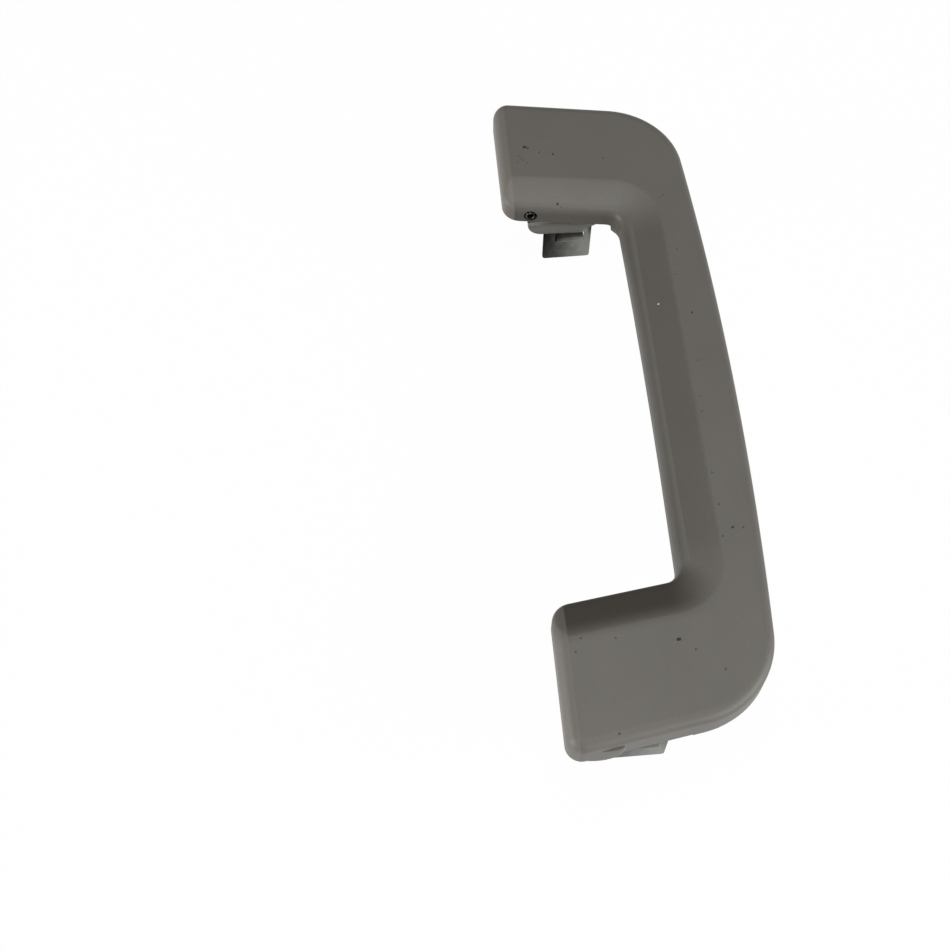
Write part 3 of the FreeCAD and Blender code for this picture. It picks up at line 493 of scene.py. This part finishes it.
def speck(x, y, radius, seed):
    """Points and faces of one flat, uneven lump on the shell."""
    hit, normal, _, _ = shell_surface.ray_cast(Vector((x, y, ABOVE_FACE)) * MM, Vector((0, 0, -1)))
    across = normal.orthogonal().normalized()
    along = normal.cross(across)
    points = []
    for height, share in SPECK_PROFILE:
        for k in range(SPECK_SIDES):
            angle = 2 * math.pi * k / SPECK_SIDES
            uneven = UNEVEN_TWICE * math.sin(2 * angle + seed) + UNEVEN_FIVE * math.sin(5 * angle + SEED_STEP * seed)
            reach = radius * share * (1 + uneven)
            points.append(hit / MM + across * reach * math.cos(angle) + along * reach * math.sin(angle)
                          + normal * SPECK_HEIGHT * height)
    faces = [tuple(range(SPECK_SIDES)), tuple(range(2 * SPECK_SIDES, 3 * SPECK_SIDES))]
    for ring in range(2):
        for k in range(SPECK_SIDES):
            a, b = ring * SPECK_SIDES + k, ring * SPECK_SIDES + (k + 1) % SPECK_SIDES
            faces.append((a, b, b + SPECK_SIDES, a + SPECK_SIDES))
    return points, faces


print("a speck takes", len(speck(0.0, 30.0, 0.4, 0)[1]), "faces")


# %% The specks, moving with the handle
def speck_group(name, places):
    """One mesh of many specks, which moves with the handle."""
    all_points, all_faces = [], []
    for seed, place in enumerate(places):
        points, faces = speck(*place, seed)
        all_faces += [tuple(i + len(all_points) for i in face) for face in faces]
        all_points += points
    group = mesh_object(name, all_points, all_faces)
    group.data.shade_smooth()
    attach(group, "handle")
    return group


dark_specks = speck_group("dried_dirt_specks", [place for place in SPECKS if place[2] >= DARK_FROM])
faint_specks = speck_group("faint_dust_specks", [place for place in SPECKS if place[2] < DARK_FROM])
pale_fleck = speck_group("pale_dust_fleck", [FLECK])
print(len(dark_specks.data.polygons) + len(faint_specks.data.polygons), "faces in the specks")

# %% [markdown]
# ## Grained ABS
#
# The shell and the brackets are injection-moulded ABS in a warm grey. The mould is etched, so the skin has
# a fine leather-like grain that scatters light: no mirror image, only a broad soft sheen. Years of hands
# leave smudges, so the colour drifts a little. A brown tone lies on the walls that face away from the lamps:
# it is partly a film of dirt and partly painted shade. The hinge side is painted paler, as painted light,
# and the brackets a little darker, as painted shade. Every edge of these tones is a place on the handle, in
# millimetres, so it stays put from any side.

# %% Material helpers
def linear(hex_colour):
    """An sRGB hex value such as '63605A' as linear red, green, blue and alpha."""
    parts = [int(hex_colour[i:i + 2], 16) / 255 for i in (0, 2, 4)]
    return tuple(c / 12.92 if c <= 0.04045 else ((c + 0.055) / 1.055) ** 2.4 for c in parts) + (1.0,)


def add_node(tree, kind, settings=None, **links):
    """Adds a node, sets its properties, and fills or links its inputs by name."""
    node = tree.nodes.new(kind)
    for key, value in (settings or {}).items():
        setattr(node, key, value)
    for key, value in links.items():
        socket = node.inputs[int(key[1:])] if key[0] == "_" else node.inputs[key.replace("_", " ")]
        if isinstance(value, bpy.types.NodeSocket):
            tree.links.new(value, socket)
        else:
            socket.default_value = value
    return node


def new_material(name):
    """An empty node material with its output node."""
    material = bpy.data.materials.new(name)
    material.use_nodes = True
    material.node_tree.nodes.clear()
    return material, material.node_tree, material.node_tree.nodes.new("ShaderNodeOutputMaterial")


def paint(material, *pieces):
    """Gives the material to each piece in place of what it had."""
    for piece in pieces:
        piece.data.materials.clear()
        piece.data.materials.append(material)


print("mid grey in linear light", [round(c, 3) for c in linear("808080")])

# %% [markdown]
# ## Painted shade and light by place
#
# Painted shade darkens the walls that face away from the lamps, tinted brown as partly a film of dirt, and
# painted light makes the hinge side paler. Each mark is a few soft ramps along X, Y or Z, multiplied together:
# where all of them are high, the mark is strongest. A painted image would need unwrapping, but ramps only need
# places, and round the opening they follow the tapered end walls.

# %% Ramps and arithmetic in nodes
def ramp(tree, value, start, end, low=0.0, high=1.0):
    """Goes smoothly from low to high as the value goes from start to end."""
    return add_node(tree, "ShaderNodeMapRange", {"interpolation_type": "SMOOTHSTEP"}, Value=value,
                    From_Min=start, From_Max=end, To_Min=low, To_Max=high).outputs["Result"]


def fade(tree, along, places, low=0.0, high=1.0):
    """A ramp between two places in millimetres."""
    return ramp(tree, along, places[0] * MM, places[1] * MM, low, high)


def maths(tree, operation, *values):
    """Arithmetic on two or more values, from left to right."""
    total = values[0]
    for value in values[1:]:
        total = add_node(tree, "ShaderNodeMath", {"operation": operation}, _0=total, _1=value).outputs[0]
    return total


# %% Painted shade on the two ends
# painted shade: the low end's inner bevel, which faces away from the lamps, and the high end's flank towards its rim
# are darkened
LOW_BEVEL_SHADE, HIGH_FLANK_SHADE = 0.8, 0.8
LOW_SHADE_REACH, HIGH_SHADE_REACH = (7.5, 15.5), (2, 3.5)          # where it thins out, from the opening's edge
LOW_FROM_X, HIGH_FROM_X = (62, 70), (-62, -68)       # where it begins, along the handle
OFF_GRIP_Y, HIGH_DEPTH = (10, 25), (7, 1)            # short of the grip, and below the face


def end_shade(tree, axes):
    """Painted shade on the bevel of one end and on the flank of the other, along the tapered opening."""
    past_hinge = maths(tree, "ADD", axes["Y"], -HINGE_Y * MM)
    taper = maths(tree, "MULTIPLY", past_hinge, math.tan(math.radians(OPENING_TAPER)))
    low_way = maths(tree, "ADD", axes["X"], taper)
    low_bevel = maths(tree, "MULTIPLY",
                      fade(tree, low_way, [OPENING_HALF + w for w in LOW_SHADE_REACH], LOW_BEVEL_SHADE, 0.0),
                      fade(tree, axes["X"], LOW_FROM_X),
                      fade(tree, axes["Y"], OFF_GRIP_Y, 1.0, 0.0))
    high_way = maths(tree, "SUBTRACT", taper, axes["X"])
    high_flank = maths(tree, "MULTIPLY",
                       fade(tree, high_way, [OPENING_HALF + w for w in HIGH_SHADE_REACH], HIGH_FLANK_SHADE, 0.0),
                       fade(tree, axes["X"], HIGH_FROM_X),
                       fade(tree, axes["Z"], [FACE_Z - depth for depth in HIGH_DEPTH], 1.0, 0.0))
    return maths(tree, "MAXIMUM", low_bevel, high_flank)


print("film on the low end's bevel up to", OPENING_HALF + LOW_SHADE_REACH[1], "mm from the middle")

# %% Painted shade on the grip
# painted shade: the grip's bevel and inner flank, inside the opening, are darkened
GRIP_BEVEL_SHADE, GRIP_FLANK_SHADE, SHADE_AT_FOLD = 0.27, 0.42, 0.04
GRIP_REACH_X = (56, 72)                              # where it ends, from the middle of the handle
BEVEL_FADE, FOLD_WIDTH, FLANK_START = 2, 0.4, 0.2


def grip_shade(tree, axes):
    """Painted shade on the grip's bevel and flank, with a clean line at the fold between them."""
    fold = GRIP_INNER_Y + FLANK_LEAN_GRIP
    bevel_edge = fold + BEVEL_WIDTH
    bevel = maths(tree, "MULTIPLY",
                  fade(tree, axes["Y"], (bevel_edge - BEVEL_FADE, bevel_edge), GRIP_BEVEL_SHADE, 0.0),
                  fade(tree, axes["Y"], (fold, fold + FOLD_WIDTH)))
    flank = fade(tree, axes["Y"], (GRIP_INNER_Y + FLANK_START, fold), GRIP_FLANK_SHADE, SHADE_AT_FOLD)
    from_middle = add_node(tree, "ShaderNodeMath", {"operation": "ABSOLUTE"}, _0=axes["X"]).outputs[0]
    return maths(tree, "MULTIPLY", maths(tree, "MAXIMUM", bevel, flank),
                 fade(tree, from_middle, GRIP_REACH_X, 1.0, 0.0))


print("film on the grip from y", GRIP_INNER_Y, "to", GRIP_INNER_Y + FLANK_LEAN_GRIP + BEVEL_WIDTH)

# %% Painted shade and painted light over the plastic's own colour
BROWN_SHADE_HEX = "2A241B"
HINGE_LIGHT_HEX, HINGE_LIGHT_SHARE, HINGE_LIGHT_MM, HINGE_LIGHT_FADE = "7C756D", 0.4, 4.2, 0.8


def shade_and_light_tones(tree, place, tint):
    """The tint with the brown painted shade over it, and the hinge side painted paler as painted light."""
    axes = add_node(tree, "ShaderNodeSeparateXYZ", Vector=place).outputs
    # painted shade, tinted brown and partly a film of dirt, on the ends and on the grip
    painted_shade = maths(tree, "MAXIMUM", end_shade(tree, axes), grip_shade(tree, axes))
    tint = add_node(tree, "ShaderNodeMix", {"data_type": "RGBA"}, _0=painted_shade, _6=tint,
                    _7=linear(BROWN_SHADE_HEX)).outputs[2]
    # painted light: the hinge side, lit by the side lamp, is painted paler
    hinge_light_edge = HINGE_SIDE_Y + HINGE_LIGHT_MM
    hinge_light = fade(tree, axes["Y"], (hinge_light_edge - HINGE_LIGHT_FADE, hinge_light_edge), HINGE_LIGHT_SHARE, 0.0)
    return add_node(tree, "ShaderNodeMix", {"data_type": "RGBA"}, _0=hinge_light, _6=tint,
                    _7=linear(HINGE_LIGHT_HEX)).outputs[2]


print("rubbed up to y", HINGE_SIDE_Y + HINGE_LIGHT_MM)

# %% The shell material
GRAIN_MM = 0.35                      # a fine etched grain may be nearer 0.2 mm: drawn coarser so that it shows
SMUDGE_MM = 22.0                     # a fingertip's width and a bit
ABS_IOR = 1.53


def grained_abs(name, base_hex, dark_hex, roughness, used=False):
    """Etched, injection-moulded ABS with hand smudges; with used set, painted shade tinted brown and painted light
    on the hinge side are added.
    """
    material, tree, output = new_material(name)
    place = add_node(tree, "ShaderNodeTexCoord").outputs["Object"]
    grain = add_node(tree, "ShaderNodeTexNoise", Vector=place, Scale=1000 / GRAIN_MM / 2, Detail=3.0)
    smudge = add_node(tree, "ShaderNodeTexNoise", Vector=place, Scale=1000 / SMUDGE_MM, Detail=4.0, Roughness=0.6)
    drift = add_node(tree, "ShaderNodeMapRange", Value=smudge.outputs["Fac"], From_Min=0.3, From_Max=0.7,
                     To_Min=0.0, To_Max=0.5)
    tint = add_node(tree, "ShaderNodeMix", {"data_type": "RGBA"}, _0=drift.outputs["Result"],
                    _6=linear(base_hex), _7=linear(dark_hex)).outputs[2]
    # used adds the painted shade, tinted brown, and the painted light on the hinge side
    if used:
        tint = shade_and_light_tones(tree, place, tint)
    speckle = add_node(tree, "ShaderNodeMapRange", Value=grain.outputs["Fac"], From_Min=0.25, From_Max=0.75,
                       To_Min=0.94, To_Max=1.06)
    colour = add_node(tree, "ShaderNodeVectorMath", {"operation": "SCALE"}, Vector=tint,
                      Scale=speckle.outputs["Result"])
    bump = add_node(tree, "ShaderNodeBump", Strength=0.25, Distance=0.06 * MM, Height=grain.outputs["Fac"])
    shader = add_node(tree, "ShaderNodeBsdfPrincipled", Base_Color=colour.outputs["Vector"],
                      Roughness=roughness, IOR=ABS_IOR, Normal=bump.outputs["Normal"])
    tree.links.new(shader.outputs[0], output.inputs["Surface"])
    return material


# the shell carries the painted shade and the painted light
shell_abs = grained_abs("grained_abs_warm_grey", "63605A", "5B5852", 0.52, used=True)
# painted shade: the brackets' grey is a little darker than the shell's, for where they sit under the shell's edge
bracket_abs_painted_shade = grained_abs("abs_warm_grey_painted_shade", "5E5B54", "55524B", 0.45)
paint(shell_abs, front, cad_nodes["grip_rear_shell"])
paint(bracket_abs_painted_shade, cad_nodes["spring_end_bracket"], cad_nodes["damper_end_bracket"])
print("shell and brackets in", shell_abs.name, "and", bracket_abs_painted_shade.name)

# %% [markdown]
# ## Metal, nylon, rubber and acetal parts
#
# The small parts share one recipe: a colour that drifts over a real distance, and a shallow bump of the
# same pattern. What tells them apart is the metal share, the roughness and how strong the drift is.

# %% A plain finish
def plain_finish(name, colour_hex, metallic, roughness, mottle_mm, mottle_depth):
    """A finish whose colour drifts by a small share over a real distance."""
    material, tree, output = new_material(name)
    place = add_node(tree, "ShaderNodeTexCoord").outputs["Object"]
    mottle = add_node(tree, "ShaderNodeTexNoise", Vector=place, Scale=1000 / mottle_mm, Detail=5.0)
    level = add_node(tree, "ShaderNodeMapRange", Value=mottle.outputs["Fac"], From_Min=0.3, From_Max=0.7,
                     To_Min=1 - mottle_depth, To_Max=1 + mottle_depth)
    colour = add_node(tree, "ShaderNodeVectorMath", {"operation": "SCALE"}, Vector=linear(colour_hex)[:3],
                      Scale=level.outputs["Result"])
    bump = add_node(tree, "ShaderNodeBump", Strength=0.15, Distance=0.05 * MM, Height=mottle.outputs["Fac"])
    shader = add_node(tree, "ShaderNodeBsdfPrincipled", Base_Color=colour.outputs["Vector"], Metallic=metallic,
                      Roughness=roughness, Normal=bump.outputs["Normal"])
    tree.links.new(shader.outputs[0], output.inputs["Surface"])
    return material


# zinc plated steel: a cool, even grey with soft reflections
zinc_plate = plain_finish("zinc_plated_steel", "B9BBB8", 1.0, 0.35, 1.0, 0.08)
paint(zinc_plate, *screws)
print(len(screws), "screws in", zinc_plate.name)

# %% [markdown]
# ## The clips' coat, and a painted reflection
#
# The clips are hardened spring steel with a phosphate coat, which looks sooty and dull. Towards the grip
# side the colour is painted lighter in cloudy patches, as a painted reflection. A ramp across the clip
# gives it, and a noise shifts that ramp to and fro, so its edge isn't a ruled line.

# %% The phosphate coat, with a painted reflection
CLOUD_MM, DRIFT_MM, REFLECTION_Y = 2.5, 1.2, (-8, 9)
COAT_HEX, REFLECTION_HEX = "262624", "7E7E79"


def coat_with_painted_reflection():
    """Spring steel with a dark coat, painted lighter towards the grip side as a painted reflection."""
    material, tree, output = new_material("phosphated_spring_steel")
    place = add_node(tree, "ShaderNodeTexCoord").outputs["Object"]
    axes = add_node(tree, "ShaderNodeSeparateXYZ", Vector=place).outputs
    cloud = add_node(tree, "ShaderNodeTexNoise", Vector=place, Scale=1000 / CLOUD_MM, Detail=5.0).outputs["Fac"]
    drift = ramp(tree, cloud, 0.3, 0.7, -DRIFT_MM * MM, DRIFT_MM * MM)
    # painted reflection: the colour lightens across the clip towards the grip side
    painted_reflection = fade(tree, maths(tree, "ADD", axes["Y"], drift), REFLECTION_Y)
    tint = add_node(tree, "ShaderNodeMix", {"data_type": "RGBA"}, _0=painted_reflection, _6=linear(COAT_HEX), _7=linear(REFLECTION_HEX))
    bump = add_node(tree, "ShaderNodeBump", Strength=0.15, Distance=0.05 * MM, Height=cloud)
    shader = add_node(tree, "ShaderNodeBsdfPrincipled", Base_Color=tint.outputs[2], Metallic=1.0,
                      Roughness=0.38, Normal=bump.outputs["Normal"])
    tree.links.new(shader.outputs[0], output.inputs["Surface"])
    return material


phosphated_steel = coat_with_painted_reflection()
paint(phosphated_steel, cad_nodes["spring_end_roof_clip"], cad_nodes["damper_end_roof_clip"])
print("clips in", phosphated_steel.name)

# %% Finishes of the small parts
# In brackets: name, colour, metal share, roughness, drift in mm and its strength, then the pieces.
SMALL_FINISHES = (
    # rolled spring steel: bright, with sharp streaks of light along each coil
    (("rolled_spring_steel", "B5B1A9", 1.0, 0.28, 0.8, 0.08), ["return_spring"]),
    # pin steel: painted dark, and its strong colour drift gives painted glints
    (("dark_pin_steel_painted_glints", "5A5751", 1.0, 0.22, 0.9, 0.45), ["spring_end_hinge_pin", "damper_end_hinge_pin"]),
    # moulded glass-filled nylon: a satin black
    (("black_glass_filled_nylon", "2A2A29", 0.0, 0.55, 0.9, 0.10),
     ["spring_end_locking_wedge", "damper_end_locking_wedge"]),
    # moulded rubber: it shines hardly at all
    (("moulded_rubber", "1C1C1C", 0.0, 0.8, 1.5, 0.12),
     ["spring_end_stop_buffer", "damper_end_stop_buffer", "damper_seal"]),
    # moulded acetal: waxy white with a soft gloss
    (("natural_acetal", "DAD7CC", 0.0, 0.35, 6.0, 0.03),
     ["damper_housing", "damper_cap", "damper_rotor", "spring_sleeve"]),
)
for recipe, names in SMALL_FINISHES:
    paint(plain_finish(*recipe), *[cad_nodes[name] for name in names])
print(len(SMALL_FINISHES), "finishes on the small parts")

# %% Finishes of the specks
# dried dirt and dust: dull and dry, darker or paler than the plastic below
paint(plain_finish("dried_dirt", "2E2B27", 0.0, 0.85, 0.4, 0.15), dark_specks)
paint(plain_finish("settled_dust", "48453F", 0.0, 0.85, 0.4, 0.15), faint_specks)
paint(plain_finish("pale_dust", "D4CFC6", 0.0, 0.85, 0.4, 0.10), pale_fleck)
print(len(bpy.data.materials), "materials so far")

# %% [markdown]
# ## Even shading
#
# The measured solids arrive as loose triangles. A weld joins them, so that round faces shade smoothly, and
# weighted normals let each large flat face set the shading at its own corners, which takes the diagonal
# streaks off flat steel. Folds over 30 degrees stay crisp. It has a limit: the thin triangles round the
# rear shell's screw holes still show fine streaks.

# %% Shading on the solids that stay
WELD_WITHIN, SOLID_CREASE, FLAT_WEIGHT = 0.002, 30, 100
staying = [node for node in cad_nodes.values() if not node.hide_render]
for node in staying:
    weld = node.modifiers.new("weld", "WELD")
    weld.merge_threshold = WELD_WITHIN * MM
    shade(node, SOLID_CREASE)
    flats = node.modifiers.new("flats", "WEIGHTED_NORMAL")
    flats.keep_sharp = True
    flats.weight = FLAT_WEIGHT
print(len(staying), "measured solids stay in view")

# %% [markdown]
# ## The studio
#
# The object was shot on white. Area lights stand in for a studio's softboxes, since their broad faces give
# broad, soft sheens. The two strongest stand on the hinge side and on the grip side. A third, beyond the
# lower end, brightens the walls that face it and leaves the inner wall opposite dark, and the weakest
# hangs overhead. The floor glows white to the camera and in reflections, and a small share of real
# matt floor lets a faint shadow through.

# %% The floor
FLOOR_GAP, FLOOR_HALF, GLOW_SHARE, FLOOR_GREY = 0.2, 4000.0, 0.98, (0.8, 0.8, 0.8, 1.0)
WHITE = (1.0, 1.0, 1.0, 1.0)

floor_z = cad_box[0].z / MM - FLOOR_GAP
floor = mesh_object("floor", [Vector((x * FLOOR_HALF, y * FLOOR_HALF, floor_z)) for x, y in
                              ((-1, -1), (1, -1), (1, 1), (-1, 1))], [(0, 1, 2, 3)])
floor_white, tree, output = new_material("white_floor")
rays = add_node(tree, "ShaderNodeLightPath")
seen = maths(tree, "MAXIMUM", *[rays.outputs[f"Is {kind} Ray"] for kind in ("Camera", "Glossy", "Transmission")])
matt = add_node(tree, "ShaderNodeBsdfDiffuse", Color=FLOOR_GREY)
glow = add_node(tree, "ShaderNodeEmission", Color=WHITE, Strength=1.0)
mixed = add_node(tree, "ShaderNodeMixShader", _0=maths(tree, "MULTIPLY", seen, GLOW_SHARE),
                 _1=matt.outputs[0], _2=glow.outputs[0])
tree.links.new(mixed.outputs[0], output.inputs["Surface"])
paint(floor_white, floor)
print("floor at z", round(floor_z, 2))

# %% The world
WORLD_LEVEL = 0.2
world = bpy.data.worlds.new("studio")
world.use_nodes = True
bpy.context.scene.world = world
tree = world.node_tree
tree.nodes.clear()
rays = add_node(tree, "ShaderNodeLightPath")
level = add_node(tree, "ShaderNodeMapRange", Value=rays.outputs["Is Camera Ray"], To_Min=WORLD_LEVEL, To_Max=1.0)
sky = add_node(tree, "ShaderNodeBackground", Color=WHITE, Strength=level.outputs["Result"])
ending = add_node(tree, "ShaderNodeOutputWorld")
tree.links.new(sky.outputs[0], ending.inputs["Surface"])
print("world lights the object at", WORLD_LEVEL)

# %% The lamps
LAMP_SIZE, AIM_AT = 0.5, Vector((0.0, 0.01, 0.02))


def softbox(name, at, watts):
    """A square area light that faces the middle of the object. Places are in metres."""
    data = bpy.data.lights.new(name, "AREA")
    data.size, data.energy = LAMP_SIZE, watts
    light = bpy.data.objects.new(name, data)
    light.location = at
    light.rotation_euler = (AIM_AT - Vector(at)).to_track_quat("-Z", "Y").to_euler()
    bpy.context.scene.collection.objects.link(light)


softbox("top_light", (0.0, 0.0, 1.2), 4.2)
softbox("fill_hinge_side", (0.15, -1.1, 0.28), 8.2)
softbox("fill_grip_side", (0.4, 1.0, 0.5), 7.0)
softbox("key_low_end", (0.9, 0.6, 0.55), 5.5)
print(len(bpy.data.lights), "lamps")

# %% [markdown]
# ## The end
#
# The render uses the Standard view transform.

# %% Finish
scene = bpy.context.scene
scene.view_settings.view_transform = "Standard"
